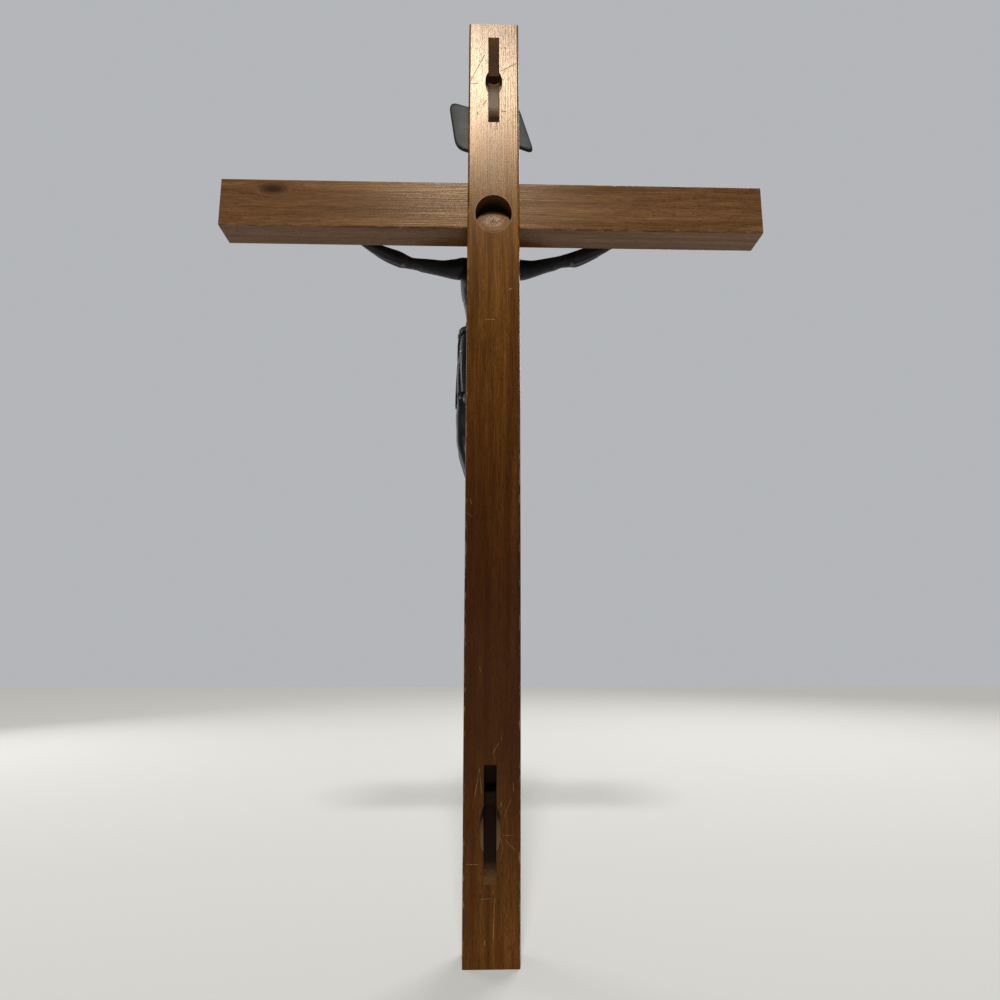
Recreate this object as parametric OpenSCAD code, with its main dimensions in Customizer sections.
// Wall crucifix: a bowed walnut upright with a crossbeam lapped into it, a cast figure and a slanted
// scroll plaque. Millimetres, Z up. The figure faces -Y and the wall side faces +Y. The origin is the
// middle of the hanging recess's rim, on the back of the upright.

/* [Boards] */
// Length of the upright, measured along its bow
upright_l = 304; // [270:1:360]
// Width of the upright
upright_w = 17; // [15:0.5:22]
// Thickness of both boards, front to back
board_t = 11.6; // [10:0.1:15]
// Radius of the bow, measured at the back of the upright
bow_r = 1800; // [1400:10:6000]
// Length of the crossbeam
beam_l = 177.5; // [150:0.5:220]
// Height of the crossbeam
beam_h = 16.6; // [15:0.1:22]
// Distance from the top end of the upright down to the middle of the crossbeam
beam_drop = 70.4; // [62:0.1:84]
// Radius of the eased long edges of both boards
ease_r = 0.6; // [0.2:0.1:1]

/* [Hanging recess] */
// Diameter of the flat-bottomed recess
recess_d = 12; // [8:0.1:13]
// Tilt of the recess from square, with its deep side up
recess_tilt = 26; // [10:0.5:26]
// Distance from the middle of the crossbeam down to the middle of the recess
recess_drop = 2.7; // [1:0.1:3.5]
// Radius of the mark that the cutter's point leaves in the floor
spur_r = 1.2; // [0.5:0.1:1.5]
// Depth of that mark
spur_deep = 0.5; // [0.2:0.1:0.6]

/* [Slots] */
// Width of both saw-cut slots
slot_w = 3.75; // [2:0.05:5]
// Length of both slots at the surface
slot_l = 34; // [28:0.5:38]
// Depth of both slots at their middle
slot_deep = 6; // [3:0.1:8]
// Distance from the top end of the upright to the upper slot
upper_slot_drop = 5.4; // [4:0.1:12]
// Distance from the bottom end of the upright to the lower slot
lower_slot_rise = 23.7; // [6:0.1:40]
// Sideways place of the lower slot
lower_slot_shift = 0.5; // [-1:0.1:1]
// Diameter of the slanted hole in the upper slot
upper_hole_d = 5.8; // [5.1:0.1:7]
// Slant of that hole from square
upper_hole_tilt = 57; // [45:1:60]
// Diameter of the slanted hole in the lower slot
lower_hole_d = 6.4; // [5.1:0.1:7]
// Slant of that hole from square
lower_hole_tilt = 67; // [45:1:68]
// Depth of both slanted holes, square to the surface
slot_hole_deep = 5; // [3:0.1:7]
// Distance from the middle of a slot down to its slanted hole
slot_hole_drop = 1.4; // [0:0.1:4]

/* [Figure] */
// Height that the figure would have standing up, crown to sole
figure_h = 112; // [96:1:120]
// Distance from the middle of the crossbeam down to the pit of the throat
throat_drop = 9.5; // [8:0.1:11]
// Lean of the head to the figure's right
head_lean = 25; // [0:1:28]
// Bow of the head towards the chest
head_bow = 20; // [0:1:26]
// Turn of the head to the figure's right
head_turn = 14; // [0:1:20]

/* [Plaque] */
// Width of the plaque at half its height
plaque_w = 26.5; // [18:0.5:32]
// Height of the plaque
plaque_h = 18; // [12:0.5:22]
// Thickness of the plaque's sheet
plaque_t = 1; // [0.6:0.1:1.6]
// Sideways lean of the plaque's ends over its height
plaque_lean = 4.4; // [0:0.1:6]
// Extra lean of the plaque's end at the figure's right, and the same less at the other end
plaque_fan = 1.6; // [0:0.1:2]
// Height of the rim round the plaque's face
plaque_rim = 0.5; // [0.2:0.1:0.8]
// Distance that the plaque's ends curl forward
plaque_curl = 0.7; // [0:0.1:4]
// Distance from the middle of the crossbeam up to the middle of the plaque
plaque_rise = 39.5; // [30:0.5:50]
// Sideways place of the plaque's middle, towards the figure's left
plaque_shift = 1.3; // [-1.5:0.1:1.5]
// Height of the wave in the plaque's long edges, up at one end and down at the other
plaque_wave_h = 1.6; // [0:0.1:2.5]
// Distance from the middle of the plaque to each of its pins
pin_reach = 5.8; // [4:0.1:7]

/* [Nails] */
// Diameter of the nails through the hands and feet
nail_d = 1.4; // [1:0.1:1.6]
// Diameter of their heads
nail_head_d = 2.8; // [2.4:0.1:3.2]
// Height of their heads
nail_head_h = 0.9; // [0.6:0.1:1.2]
// Length of each nail inside the wood
nail_bite = 7; // [5:0.1:8]
// Diameter of the plaque's pins
pin_d = 1.1; // [0.8:0.1:1.4]
// Diameter of their heads
pin_head_d = 2.2; // [1.8:0.1:2.8]
// Height of their heads
pin_head_h = 0.7; // [0.4:0.1:1]
// Length of each pin inside the wood
pin_bite = 6; // [4:0.1:8]
// Length of the point of a nail or pin
point_l = 1.6; // [1:0.1:2]

/* [Hidden] */

// Clearance between metal and the wood that it lies on, and round a nail in metal
seat_gap = 0.05;
nail_gap = 0.12;
// Overrun of every cut past the surface that it opens
overrun = 1;
arc_fn = 1440;
round_fn = 48;
bore_fn = 24;
ball_fn = 8;
rod_fn = 6;

wood_colour = "#7a5334";
figure_colour = "#26262a";
plaque_colour = "#5c5c55";
nail_colour = "#3a3836";

beam_z = recess_drop;
top_turn = beam_drop / bow_r * 180 / PI;
foot_turn = (beam_drop - upright_l) / bow_r * 180 / PI;
recess_r = recess_d / 2;
recess_deep = recess_r * tan(recess_tilt);
// Radius of the saw that leaves a slot of this length and depth
saw_r = (pow(slot_l / 2, 2) + pow(slot_deep, 2)) / (2 * slot_deep);

head_count = 8;
head_l = figure_h / head_count;
throat_z = beam_z - throat_drop;
forward = [0, -1, 0];

// Each row of the figure's tables is one section: across to the figure's left, forward of the wood,
// up from the throat, half width and half depth, in head lengths
torso_shares = [
    [0.05, 0.42, 0.10, 0.25, 0.17],
    [0.06, 0.44, -0.02, 0.54, 0.25],
    [0.09, 0.47, -0.22, 0.69, 0.35],
    [0.10, 0.49, -0.52, 0.69, 0.41],
    [0.105, 0.49, -0.88, 0.66, 0.40],
    [0.12, 0.47, -1.16, 0.61, 0.37],
    [0.135, 0.45, -1.41, 0.555, 0.33],
    [0.155, 0.43, -1.66, 0.49, 0.295],
    [0.18, 0.43, -1.92, 0.515, 0.31],
    [0.215, 0.44, -2.20, 0.56, 0.34],
    [0.225, 0.45, -2.56, 0.565, 0.36],
    [0.225, 0.46, -2.86, 0.51, 0.32],
    [0.225, 0.47, -3.06, 0.34, 0.20]
];
// Swellings of the torso: angle round it, height, spread of both, and push outwards
torso_swell_shares = [
    [56, -0.43, 27, 0.17, 0.06], [124, -0.43, 27, 0.17, 0.06],
    [90, -0.50, 8, 0.30, -0.05], [90, -1.20, 24, 0.20, -0.06],
    [62, -1.00, 16, 0.12, 0.035], [118, -1.00, 16, 0.12, 0.035],
    [72, -1.58, 18, 0.26, 0.03], [108, -1.58, 18, 0.26, 0.03],
    [90, -1.60, 6, 0.35, -0.025], [90, -2.05, 30, 0.18, 0.035],
    [240, -0.55, 22, 0.25, 0.035], [300, -0.55, 22, 0.25, 0.035],
    [270, -1.3, 12, 0.7, -0.04]
];
neck_shares = [
    [0.08, 0.42, -0.30, 0.20, 0.17],
    [0.03, 0.48, 0.00, 0.185, 0.17],
    [-0.08, 0.58, 0.26, 0.175, 0.18],
    [-0.18, 0.65, 0.48, 0.17, 0.18]
];
left_arm_shares = [
    [0.44, 0.46, -0.23, 0.19, 0.19],
    [0.70, 0.49, -0.22, 0.245, 0.22],
    [0.94, 0.51, -0.22, 0.22, 0.20],
    [1.18, 0.52, -0.19, 0.185, 0.175],
    [1.61, 0.53, -0.12, 0.16, 0.155],
    [1.99, 0.54, -0.07, 0.14, 0.14],
    [2.15, 0.53, -0.03, 0.158, 0.15],
    [2.37, 0.51, 0.06, 0.18, 0.155],
    [2.60, 0.47, 0.13, 0.17, 0.15],
    [2.94, 0.38, 0.25, 0.135, 0.12],
    [3.26, 0.26, 0.40, 0.105, 0.09],
    [3.46, 0.15, 0.51, 0.10, 0.075],
    [3.64, 0.10, 0.59, 0.12, 0.07]
];
right_arm_shares = [
    [-0.24, 0.46, -0.23, 0.19, 0.19],
    [-0.49, 0.48, -0.21, 0.25, 0.22],
    [-0.72, 0.50, -0.22, 0.225, 0.20],
    [-0.94, 0.51, -0.18, 0.195, 0.18],
    [-1.32, 0.52, -0.07, 0.158, 0.155],
    [-1.67, 0.53, 0.02, 0.152, 0.145],
    [-1.88, 0.52, 0.06, 0.168, 0.15],
    [-2.10, 0.49, 0.11, 0.183, 0.155],
    [-2.43, 0.43, 0.22, 0.168, 0.145],
    [-2.82, 0.34, 0.35, 0.13, 0.115],
    [-3.10, 0.25, 0.48, 0.105, 0.09],
    [-3.32, 0.15, 0.58, 0.10, 0.075],
    [-3.50, 0.10, 0.66, 0.12, 0.07]
];
left_leg_shares = [
    [0.52, 0.44, -2.40, 0.31, 0.34],
    [0.54, 0.50, -2.82, 0.31, 0.34],
    [0.58, 0.62, -3.46, 0.29, 0.305],
    [0.63, 0.74, -3.96, 0.262, 0.27],
    [0.65, 0.82, -4.32, 0.232, 0.235],
    [0.66, 0.84, -4.54, 0.218, 0.235],
    [0.63, 0.80, -4.79, 0.203, 0.205],
    [0.565, 0.72, -5.04, 0.203, 0.215],
    [0.445, 0.59, -5.43, 0.207, 0.235],
    [0.35, 0.48, -5.75, 0.178, 0.205],
    [0.22, 0.35, -6.18, 0.135, 0.155],
    [0.13, 0.26, -6.52, 0.112, 0.13],
    [0.10, 0.21, -6.72, 0.118, 0.165],
    [0.07, 0.165, -7.00, 0.145, 0.105],
    [0.05, 0.15, -7.32, 0.172, 0.08],
    [0.04, 0.15, -7.48, 0.165, 0.06]
];
right_leg_shares = [
    [-0.07, 0.44, -2.40, 0.31, 0.34],
    [-0.04, 0.50, -2.82, 0.31, 0.34],
    [0.03, 0.64, -3.46, 0.285, 0.305],
    [0.12, 0.79, -3.96, 0.257, 0.27],
    [0.17, 0.88, -4.28, 0.23, 0.24],
    [0.19, 0.91, -4.50, 0.218, 0.24],
    [0.19, 0.88, -4.75, 0.203, 0.205],
    [0.17, 0.82, -5.00, 0.203, 0.215],
    [0.125, 0.73, -5.39, 0.207, 0.235],
    [0.09, 0.65, -5.71, 0.178, 0.205],
    [0.04, 0.55, -6.14, 0.135, 0.155],
    [0.01, 0.47, -6.48, 0.112, 0.13],
    [0.00, 0.43, -6.68, 0.118, 0.165],
    [-0.02, 0.37, -6.96, 0.145, 0.105],
    [-0.035, 0.345, -7.28, 0.172, 0.08],
    [-0.04, 0.345, -7.44, 0.165, 0.06]
];
cloth_shares = [
    [0.18, 0.43, -1.88, 0.48, 0.28],
    [0.185, 0.43, -1.90, 0.545, 0.34],
    [0.20, 0.43, -2.02, 0.575, 0.38],
    [0.22, 0.44, -2.25, 0.60, 0.42],
    [0.23, 0.45, -2.56, 0.605, 0.44],
    [0.24, 0.50, -2.90, 0.605, 0.455],
    [0.25, 0.56, -3.22, 0.60, 0.445],
    [0.255, 0.61, -3.42, 0.585, 0.425],
    [0.255, 0.62, -3.44, 0.50, 0.34]
];
cloth_tail_shares = [
    [0.70, 0.52, -1.96, 0.05, 0.07],
    [0.71, 0.52, -2.04, 0.11, 0.15],
    [0.72, 0.53, -2.20, 0.12, 0.17],
    [0.725, 0.54, -2.34, 0.08, 0.12],
    [0.745, 0.57, -2.60, 0.09, 0.16],
    [0.765, 0.62, -3.00, 0.095, 0.20],
    [0.77, 0.67, -3.45, 0.10, 0.24],
    [0.765, 0.70, -3.78, 0.105, 0.27],
    [0.765, 0.70, -3.80, 0.05, 0.20]
];
// Each row of the head's tables is one section: up from the middle of the head, forward, half width
// and half depth, in head lengths
skull_shares = [
    [-0.50, 0.20, 0.06, 0.04],
    [-0.475, 0.185, 0.14, 0.11],
    [-0.42, 0.16, 0.19, 0.17],
    [-0.32, 0.11, 0.24, 0.235],
    [-0.20, 0.06, 0.275, 0.30],
    [-0.06, 0.01, 0.30, 0.365],
    [0.08, -0.015, 0.32, 0.40],
    [0.22, -0.03, 0.325, 0.405],
    [0.34, -0.04, 0.295, 0.365],
    [0.43, -0.04, 0.22, 0.27],
    [0.48, -0.04, 0.12, 0.15],
    [0.495, -0.04, 0.03, 0.04]
];
face_swell_shares = [
    [90, -0.08, 10, 0.09, 0.045], [90, -0.145, 12, 0.04, 0.045],
    [70, 0.065, 14, 0.03, 0.018], [110, 0.065, 14, 0.03, 0.018],
    [68, 0.005, 9, 0.04, -0.035], [112, 0.005, 9, 0.04, -0.035],
    [56, -0.09, 14, 0.05, 0.014], [124, -0.09, 14, 0.05, 0.014],
    [90, -0.255, 14, 0.02, 0.018], [90, -0.335, 12, 0.02, -0.012]
];
hair_shares = [
    [-0.84, -0.22, 0.12, 0.06],
    [-0.80, -0.21, 0.30, 0.14],
    [-0.66, -0.18, 0.44, 0.20],
    [-0.44, -0.145, 0.41, 0.25],
    [-0.20, -0.11, 0.365, 0.29],
    [0.00, -0.09, 0.355, 0.34],
    [0.16, -0.075, 0.365, 0.385],
    [0.30, -0.055, 0.35, 0.41],
    [0.41, -0.045, 0.28, 0.35],
    [0.49, -0.04, 0.16, 0.21],
    [0.52, -0.04, 0.03, 0.04]
];
beard_shares = [
    [-0.66, 0.22, 0.03, 0.03],
    [-0.64, 0.215, 0.10, 0.07],
    [-0.57, 0.20, 0.165, 0.12],
    [-0.46, 0.165, 0.215, 0.17],
    [-0.36, 0.13, 0.25, 0.205],
    [-0.26, 0.09, 0.265, 0.235],
    [-0.22, 0.07, 0.22, 0.19]
];
// The head's middle from the throat, and the plaited crown: height, forward, half width, half depth,
// half thickness of a strand and its distance from the crown's middle line
head_shares = [-0.31, 0.76, 0.78];
crown_shares = [0.22, -0.055, 0.375, 0.415, 0.036, 0.03];
crown_plaits = 8;
// Folds of the cloth and locks of the hair and beard: how many, their height, and the angle that they
// sweep round in one head length
cloth_folds = 10;
tail_folds = 5;
fold_share = 0.028;
tail_fold_share = 0.014;
fold_sweep = 36;
hair_locks = 8;
beard_locks = 7;
lock_share = 0.018;
beard_lock_share = 0.009;
lock_sweep = 60;
// Sides round each form, and sections for each row of its table
torso_sides = 36;
neck_sides = 16;
arm_sides = 14;
leg_sides = 16;
cloth_sides = 40;
tail_sides = 16;
head_sides = 32;
beard_sides = 24;
fine_steps = 2;
plain_steps = 1;
// Middle of each palm from the throat, its slope, and its half length, half height and thickness
left_palm_shares = [3.72, 0.63];
right_palm_shares = [-3.58, 0.70];
palm_slope = 25;
palm_shares = [0.21, 0.165, 0.18];
// Fingers from the index down: height at the knuckle, and reach of the joint and the tip beyond it
finger_shares = [[0.115, 0.15, 0.24], [0.045, 0.17, 0.28], [-0.03, 0.16, 0.26], [-0.10, 0.13, 0.21]];
finger_r_share = 0.045;
// Forward place of a finger's knuckle, joint and tip
finger_curl_shares = [0.08, 0.12, 0.20];
// Thumb's root, joint and tip: along the hand, back of the palm's face, and up
thumb_shares = [[-0.10, -0.09, 0.10], [0.03, -0.12, 0.21], [0.13, -0.16, 0.25]];
// Toes from the inside out: reach across from the foot's middle line, and length below the foot's end
toe_shares = [[0.115, 0.10, 0.05], [0.045, 0.09, 0.04], [-0.01, 0.07, 0.037], [-0.06, 0.045, 0.035],
    [-0.11, 0.015, 0.033]];
wrist_share = 0.7;
// Seats of the three nails: across, up from the throat, and forward to the head's underside
right_hand_nail_shares = [right_palm_shares[0], right_palm_shares[1], 0.17];
left_hand_nail_shares = [left_palm_shares[0], left_palm_shares[1], 0.17];
feet_nail_shares = [0.02, -7.02, 0.445];
point_share = 0.15;
crown_steps = 40;
strand_sides = 4;

// Turn of the wave in the plaque's long edges, from its middle to an end
plaque_turn = 205;
// Power of the curve that rounds the plaque's corners, and the share of the way out where it starts
plaque_corner_power = 8;
plaque_corner_share = 0.3;
plaque_flat_share = 0.62;
plaque_rim_share = 0.89;
plaque_u_shares = [-1, -0.97, -0.93, -0.88, -0.8, -0.72, -0.62, -0.5, -0.35, -0.18, 0,
    0.18, 0.35, 0.5, 0.62, 0.72, 0.8, 0.88, 0.93, 0.97, 1];
plaque_v_shares = [-1, -0.95, -0.9, -0.86, -0.7, -0.45, 0, 0.45, 0.7, 0.86, 0.9, 0.95, 1];

// Soft push at angle a and height h from a table of swellings
function swell(table, a, h) = len(table) == 0 ? 0 :
    [for (s = table)
        let (off = (a - s[0] + 540) % 360 - 180)
        s[4] * exp(-pow(off / s[2], 2) - pow((h - s[1]) / s[3], 2))]
    * [for (s = table) 1];

function unit(v) = v / norm(v);

// Value a share t of the way from b to c, on a smooth curve through a, b, c and d
function glide(a, b, c, d, t) =
    (2 * b + (c - a) * t + (2 * a - 5 * b + 4 * c - d) * pow(t, 2)
        + (3 * b - a - 3 * c + d) * pow(t, 3)) / 2;

// Rows on a smooth curve through a table's rows, so many for each of its own
function smooth(rows, steps) = [
    for (i = [0 : len(rows) - 2], k = [0 : steps - 1])
        glide(rows[max(i - 1, 0)], rows[i], rows[i + 1], rows[min(i + 2, len(rows) - 1)], k / steps),
    rows[len(rows) - 1]
];

// Depth of the boards' front face at height z
function front_y(z) = sqrt(pow(bow_r - board_t, 2) - pow(z - beam_z, 2)) - bow_r;

// Place in the part of a figure row: across, forward of the wood and up from the throat
function at(row) =
    let (z = throat_z + row[2] * head_l)
    [row[0] * head_l, front_y(z) - row[1] * head_l, z];

// Ring of points round row i of a limb, square to its run, with swellings and an even number of folds
function limb_ring(rows, i, sides, swells, folds, fold) =
    let (middle = at(rows[i]),
        run = unit(at(rows[min(i + 1, len(rows) - 1)]) - at(rows[max(i - 1, 0)])),
        across = unit(cross(forward, run)),
        out = cross(run, across))
    [for (k = [0 : sides - 1])
        let (a = 360 * k / sides,
            push = swell(swells, a, rows[i][2]) + fold * sin(folds * a + folds * fold_sweep * rows[i][2]))
        middle + head_l * ((rows[i][3] + push) * cos(a) * across + (rows[i][4] + push) * sin(a) * out)];

// Ring of points round row i of a head table, level in the head's own frame
function head_ring(rows, i, sides, swells, folds, fold) =
    [for (k = [0 : sides - 1])
        let (a = 360 * k / sides,
            push = swell(swells, a, rows[i][0]) + fold * sin(folds * a + folds * lock_sweep * rows[i][0]))
        head_l * [
            -(rows[i][2] + push) * cos(a),
            -rows[i][1] - (rows[i][3] + push) * sin(a),
            rows[i][0]
        ]];

// Closed skin over a run of rings, with a cap over each end
module skin(rings) {
    n = len(rings);
    m = len(rings[0]);
    ones = [for (k = [1 : m]) 1];
    points = concat([for (r = rings) each r], [ones * rings[0] / m, ones * rings[n - 1] / m]);
    sides = [for (i = [0 : n - 2], k = [0 : m - 1])
        let (j = (k + 1) % m)
        each [
            [i * m + k, (i + 1) * m + k, (i + 1) * m + j],
            [i * m + k, (i + 1) * m + j, i * m + j]
        ]];
    first_cap = [for (k = [0 : m - 1]) [n * m, k, (k + 1) % m]];
    last_cap = [for (k = [0 : m - 1]) [n * m + 1, (n - 1) * m + (k + 1) % m, (n - 1) * m + k]];
    polyhedron(points = points, faces = concat(sides, first_cap, last_cap));
}

// Skin over rings that close on themselves
module loop_skin(rings) {
    n = len(rings);
    m = len(rings[0]);
    polyhedron(
        points = [for (r = rings) each r],
        faces = [for (i = [0 : n - 1], k = [0 : m - 1])
            let (j = (k + 1) % m, next = (i + 1) % n)
            each [[i * m + k, next * m + k, next * m + j], [i * m + k, next * m + j, i * m + j]]]
    );
}

module limb(table, steps, sides, swells = [], folds = 0, fold = 0) {
    rows = smooth(table, steps);
    skin([for (i = [0 : len(rows) - 1]) limb_ring(rows, i, sides, swells, folds, fold)]);
}

module head_form(table, steps, sides, swells = [], folds = 0, fold = 0) {
    rows = smooth(table, steps);
    skin([for (i = [0 : len(rows) - 1]) head_ring(rows, i, sides, swells, folds, fold)]);
}

// Cross-section of both boards, with eased corners
module board_section(deep, wide) {
    square([deep - 2 * ease_r, wide], center = true);
    square([deep, wide - 2 * ease_r], center = true);
    for (x = [-1, 1], y = [-1, 1])
        translate([x * (deep / 2 - ease_r), y * (wide / 2 - ease_r)])
            circle(r = ease_r, $fn = round_fn);
}

// Bends a flat section, drawn with X as the distance from the bow's middle, along the upright
module bent() {
    translate([0, -bow_r, beam_z])
        rotate([90, 0, 90])
            rotate([0, 0, foot_turn])
                rotate_extrude(angle = top_turn - foot_turn, $fn = arc_fn)
                    children();
}

// Moves its children along the bow, to a distance above the middle of the beam
module along_bow(rise) {
    translate([0, -bow_r, beam_z])
        rotate([rise / bow_r * 180 / PI, 0, 0])
            translate([0, bow_r, 0])
                children();
}

// Everything behind the boards' front face, with the clearance that metal keeps from wood
module wood_room() {
    bent()
        translate([bow_r - board_t - seat_gap, -beam_l / 2])
            square([board_t + seat_gap + overrun, beam_l]);
}

// Flat-bottomed recess whose floor runs out at the surface, with the mark of the cutter's point
module hanging_recess() {
    rotate([recess_tilt - 90, 0, 0])
        translate([0, 0, -recess_deep]) {
            cylinder(d = recess_d, h = recess_d, $fn = round_fn);
            translate([0, 0, -spur_deep])
                cylinder(r1 = 0, r2 = spur_r, h = spur_deep, $fn = round_fn);
        }
}

// Slot that a saw leaves when it plunges into the back, and the slanted hole drilled into it
module hanging_slot(hole_d, hole_tilt) {
    hole_lead = hole_d / 2 * tan(hole_tilt) + overrun;
    translate([-slot_w / 2, saw_r - slot_deep, 0])
        rotate([0, 90, 0])
            cylinder(r = saw_r, h = slot_w, $fn = arc_fn);
    translate([0, 0, -slot_hole_drop])
        rotate([90 - hole_tilt, 0, 0])
            translate([0, 0, -hole_lead])
                cylinder(d = hole_d, h = hole_lead + slot_hole_deep / cos(hole_tilt), $fn = round_fn);
}

// Nail along Z with its head's underside at zero and its point up
module nail(shank_d, head_d, head_h, length) {
    dome_r = (pow(head_d / 2, 2) + pow(head_h, 2)) / (2 * head_h);
    cylinder(d = shank_d, h = length - point_l, $fn = round_fn);
    translate([0, 0, length - point_l])
        cylinder(d1 = shank_d, d2 = shank_d * point_share, h = point_l, $fn = round_fn);
    intersection() {
        translate([0, 0, dome_r - head_h])
            sphere(r = dome_r, $fn = round_fn);
        translate([0, 0, -head_h])
            cylinder(d = head_d, h = head_h, $fn = round_fn);
    }
}

// Room in metal for a nail whose head's underside is at zero
module nail_room(length) {
    cylinder(d = nail_d + 2 * nail_gap, h = length, $fn = bore_fn);
    translate([0, 0, -nail_head_h - overrun])
        cylinder(d = nail_head_d + 2 * nail_gap, h = nail_head_h + overrun, $fn = bore_fn);
}

// Moves its children to a nail's seat on the figure, with Z into the wood
module at_nail(spot) {
    along_bow(throat_z - beam_z + spot[1] * head_l)
        translate([spot[0] * head_l, -board_t - spot[2] * head_l, 0])
            rotate([-90, 0, 0])
                children();
}

// Moves its children to a pin's seat on the plaque's face, with Z into the wood
module at_pin(side) {
    along_bow(plaque_rise)
        translate([plaque_shift + side * pin_reach, -board_t - seat_gap - plaque_t, 0])
            rotate([-90, 0, 0])
                children();
}

function nail_length(spot) = spot[2] * head_l + nail_bite;
pin_length = plaque_t + seat_gap + pin_bite;

module upright() {
    color(wood_colour)
        difference() {
            bent()
                translate([bow_r - board_t / 2, 0])
                    board_section(board_t, upright_w);
            translate([-upright_w, -board_t - overrun, beam_z - beam_h / 2])
                cube([2 * upright_w, board_t / 2 + overrun, beam_h]);
            hanging_recess();
            along_bow(beam_drop - upper_slot_drop - slot_l / 2)
                hanging_slot(upper_hole_d, upper_hole_tilt);
            along_bow(beam_drop - upright_l + lower_slot_rise + slot_l / 2)
                translate([lower_slot_shift, 0, 0])
                    hanging_slot(lower_hole_d, lower_hole_tilt);
            at_nail(feet_nail_shares)
                cylinder(d = nail_d, h = nail_length(feet_nail_shares), $fn = round_fn);
            for (side = [-1, 1])
                at_pin(side)
                    cylinder(d = pin_d, h = pin_length, $fn = round_fn);
        }
}

module crossbeam() {
    color(wood_colour)
        difference() {
            translate([-beam_l / 2, -board_t / 2, beam_z])
                rotate([90, 0, 90])
                    linear_extrude(height = beam_l)
                        board_section(board_t, beam_h);
            translate([-upright_w / 2, -board_t / 2, beam_z - beam_h])
                cube([upright_w, board_t, 2 * beam_h]);
            for (spot = [right_hand_nail_shares, left_hand_nail_shares])
                at_nail(spot)
                    cylinder(d = nail_d, h = nail_length(spot), $fn = round_fn);
        }
}

// Open hand with its back on the wood, fingers along X and thumb up, from the palm's middle
module hand() {
    ball_r = palm_shares[2] / 2 * head_l;
    hull()
        for (x = [-1, 1], z = [-1, 1])
            translate([
                x * (palm_shares[0] * head_l - ball_r),
                -ball_r,
                z * (palm_shares[1] * head_l - ball_r) * (x > 0 ? 1 : wrist_share)
            ])
                sphere(r = ball_r, $fn = ball_fn);
    for (f = finger_shares) {
        knuckle = [palm_shares[0] - finger_r_share, -finger_curl_shares[0], f[0]];
        joint = [palm_shares[0] + f[1], -finger_curl_shares[1], f[0]];
        tip = [palm_shares[0] + f[2], -finger_curl_shares[2], f[0]];
        rod(knuckle, joint, finger_r_share);
        rod(joint, tip, finger_r_share);
    }
    for (i = [0, 1])
        rod(thumb_shares[i], thumb_shares[i + 1], finger_r_share);
}

// Round-ended rod between two points, in head lengths
module rod(from, to, r_share) {
    hull()
        for (p = [from, to])
            translate(p * head_l)
                sphere(r = r_share * head_l, $fn = rod_fn);
}

// Toes of a foot, with the big toe on the side given
module toes(row, inside) {
    for (t = toe_shares)
        hull()
            for (drop = [0, t[1]])
                translate(at([row[0] + inside * t[0], row[1], row[2] - drop]))
                    sphere(r = t[2] * head_l, $fn = rod_fn);
}

// Two strands twisted round each other and round the head
module plaited_crown() {
    for (strand = [0, 180])
        loop_skin([for (i = [0 : crown_steps - 1])
            let (a = 360 * i / crown_steps,
                twist = crown_plaits * a + strand,
                wide = crown_shares[2] + crown_shares[5] * cos(twist),
                deep = crown_shares[3] + crown_shares[5] * cos(twist),
                rise = crown_shares[0] + crown_shares[5] * sin(twist))
            [for (k = [0 : strand_sides - 1])
                let (b = 360 * k / strand_sides, r = crown_shares[4])
                head_l * [
                    -(wide + r * cos(b)) * cos(a),
                    -crown_shares[1] - (deep + r * cos(b)) * sin(a),
                    rise - r * sin(b)
                ]]]);
}

module head() {
    translate(at(head_shares))
        rotate([head_bow, -head_lean, -head_turn]) {
            head_form(skull_shares, fine_steps, head_sides, face_swell_shares);
            head_form(hair_shares, plain_steps, head_sides, folds = hair_locks, fold = lock_share);
            head_form(beard_shares, plain_steps, beard_sides, folds = beard_locks, fold = beard_lock_share);
            plaited_crown();
        }
}

module corpus() {
    color(figure_colour)
        difference() {
            union() {
                limb(torso_shares, fine_steps, torso_sides, torso_swell_shares);
                limb(neck_shares, fine_steps, neck_sides);
                limb(left_arm_shares, plain_steps, arm_sides);
                limb(right_arm_shares, plain_steps, arm_sides);
                limb(left_leg_shares, plain_steps, leg_sides);
                limb(right_leg_shares, plain_steps, leg_sides);
                limb(cloth_shares, plain_steps, cloth_sides, folds = cloth_folds, fold = fold_share);
                limb(cloth_tail_shares, plain_steps, tail_sides, folds = tail_folds, fold = tail_fold_share);
                head();
                translate(at([left_palm_shares[0], 0, left_palm_shares[1]]))
                    rotate([0, -palm_slope, 0])
                        hand();
                translate(at([right_palm_shares[0], 0, right_palm_shares[1]]))
                    mirror([1, 0, 0])
                        rotate([0, -palm_slope, 0])
                            hand();
                toes(left_leg_shares[len(left_leg_shares) - 1], -1);
                toes(right_leg_shares[len(right_leg_shares) - 1], 1);
            }
            wood_room();
            for (spot = [right_hand_nail_shares, left_hand_nail_shares, feet_nail_shares])
                at_nail(spot)
                    nail_room(nail_length(spot));
        }
}

// Pull inwards of a point of the plaque's square, a and b from its middle, that rounds the square's corners
function plaque_corner(a, b) = max(a, b) < plaque_corner_share ? 1 :
    max(a, b) / pow(pow(a, plaque_corner_power) + pow(b, plaque_corner_power), 1 / plaque_corner_power);

// Point of the plaque's sheet: u runs across and v up, each from -1 to 1, at a height off its back
function plaque_point(u, v, off) =
    let (pull = plaque_corner(abs(u), abs(v)))
    let (x = pull * (u * plaque_w / 2 + v * (plaque_lean - pull * u * plaque_fan) / 2),
        out = max(pull * abs(u) - plaque_flat_share, 0) / (1 - plaque_flat_share))
    let (curl = plaque_curl * pow(out, 2),
        z = pull * v * plaque_h / 2 - plaque_wave_h * sin(x / (plaque_w / 2) * plaque_turn))
    [x, -board_t - seat_gap - curl - off, z];

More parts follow.
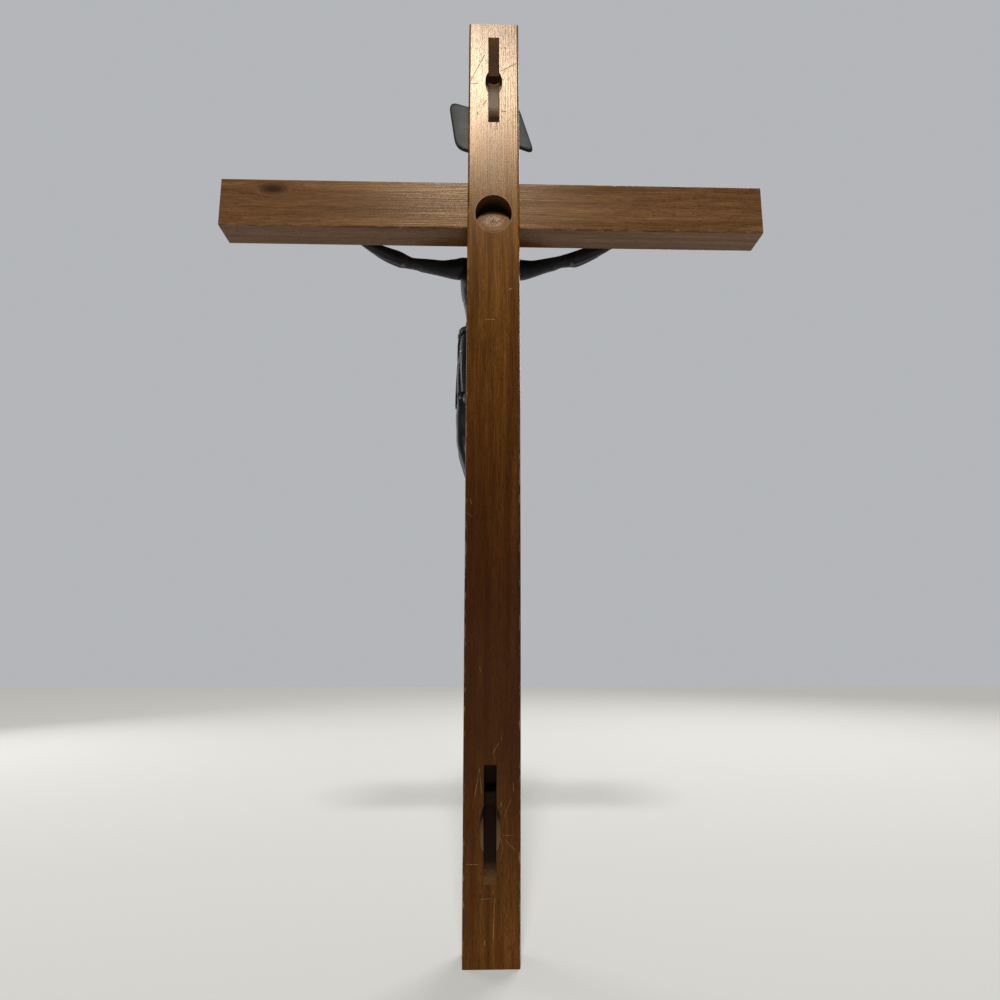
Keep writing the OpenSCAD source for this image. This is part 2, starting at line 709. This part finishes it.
// Height of the plaque's face off its back: a rim along the edge, and a flat field inside it
function plaque_face(u, v) = plaque_t + (max(abs(u), abs(v)) > plaque_rim_share ? plaque_rim : 0);

module plaque_sheet() {
    nu = len(plaque_u_shares);
    nv = len(plaque_v_shares);
    points = [
        for (u = plaque_u_shares, v = plaque_v_shares) plaque_point(u, v, 0),
        for (u = plaque_u_shares, v = plaque_v_shares) plaque_point(u, v, plaque_face(u, v))
    ];
    back = [for (i = [0 : nu - 2], j = [0 : nv - 2])
        let (a = i * nv + j, b = a + nv)
        each [[a, a + 1, b + 1], [a, b + 1, b]]];
    front = [for (f = back) [for (k = [2 : -1 : 0]) f[k] + nu * nv]];
    edge = [
        each [for (i = [0 : nu - 1]) i * nv],
        each [for (j = [1 : nv - 1]) (nu - 1) * nv + j],
        each [for (i = [nu - 2 : -1 : 0]) i * nv + nv - 1],
        each [for (j = [nv - 2 : -1 : 1]) j]
    ];
    wall = [for (k = [0 : len(edge) - 1])
        let (a = edge[k], b = edge[(k + 1) % len(edge)], up = nu * nv)
        each [[a, b, b + up], [a, b + up, a + up]]];
    polyhedron(points = points, faces = concat(back, front, wall));
}

module title_plaque() {
    color(plaque_colour)
        difference() {
            along_bow(plaque_rise)
                translate([plaque_shift, 0, 0])
                    plaque_sheet();
            for (side = [-1, 1])
                at_pin(side)
                    translate([0, 0, -plaque_rim])
                        cylinder(d = pin_d + 2 * nail_gap, h = pin_length + plaque_rim, $fn = round_fn);
        }
}

module figure_nail(spot) {
    color(nail_colour)
        at_nail(spot)
            nail(nail_d, nail_head_d, nail_head_h, nail_length(spot));
}

module plaque_pin(side) {
    color(nail_colour)
        at_pin(side)
            nail(pin_d, pin_head_d, pin_head_h, pin_length);
}

upright();
crossbeam();
corpus();
title_plaque();
figure_nail(right_hand_nail_shares);  // right_hand_nail
figure_nail(left_hand_nail_shares);  // left_hand_nail
figure_nail(feet_nail_shares);  // feet_nail
plaque_pin(-1);  // plaque_right_pin
plaque_pin(1);  // plaque_left_pin
